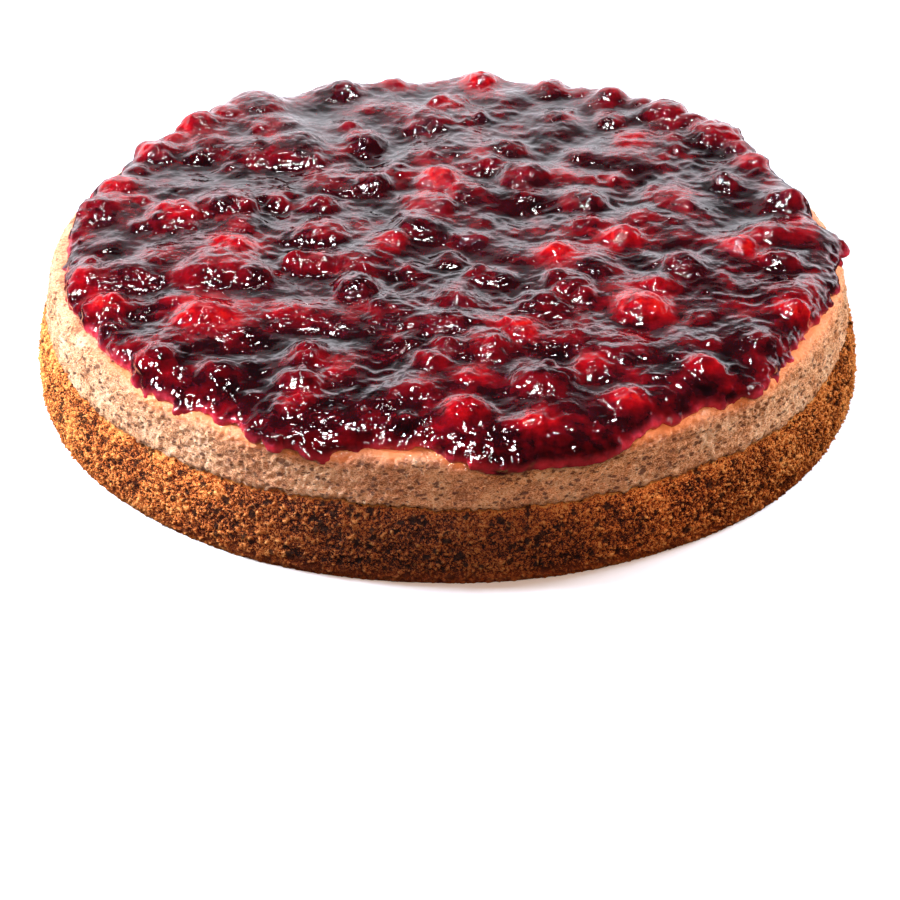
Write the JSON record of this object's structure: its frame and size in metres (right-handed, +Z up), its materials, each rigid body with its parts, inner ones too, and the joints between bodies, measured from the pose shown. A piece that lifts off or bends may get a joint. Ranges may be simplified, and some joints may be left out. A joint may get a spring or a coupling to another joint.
{
  "type": "round chocolate mousse cake",
  "caption": "Round uncut cake: sponge base, chocolate mousse layer and a glossy topping of red berries set in jelly.",
  "frame": {"origin": "centre of the flat underside of the sponge, on the table", "axes": "+Z up through the middle of the round cake; -Y is the side seen from the front, +X to its right"},
  "size_m": [0.2628, 0.2608, 0.0512],
  "materials": {
    "sponge": "baked crumb, matte, coarse",
    "mousse": "matte, fine pores",
    "jelly": "wet, glossy, translucent",
    "red_berry": "wet, glossy",
    "dark_berry": "wet, glossy"
  },
  "bodies": {
    "root": {"sponge_base": "sponge", "chocolate_mousse": "mousse", "berry_jelly": "jelly", "dark_berry_01": "dark_berry", "dark_berry_02": "dark_berry", "dark_berry_03": "dark_berry", "dark_berry_04": "dark_berry", "dark_berry_05": "dark_berry", "dark_berry_06": "dark_berry", "dark_berry_07": "dark_berry", "dark_berry_08": "dark_berry", "dark_berry_09": "dark_berry", "dark_berry_10": "dark_berry", "dark_berry_11": "dark_berry", "dark_berry_12": "dark_berry", "red_berry_01": "red_berry", "red_berry_02": "red_berry", "red_berry_03": "red_berry", "red_berry_04": "red_berry", "red_berry_05": "red_berry", "red_berry_06": "red_berry", "red_berry_07": "red_berry", "red_berry_08": "red_berry", "red_berry_09": "red_berry", "red_berry_10": "red_berry", "red_berry_11": "red_berry", "red_berry_12": "red_berry"}
  },
  "joints": []
}
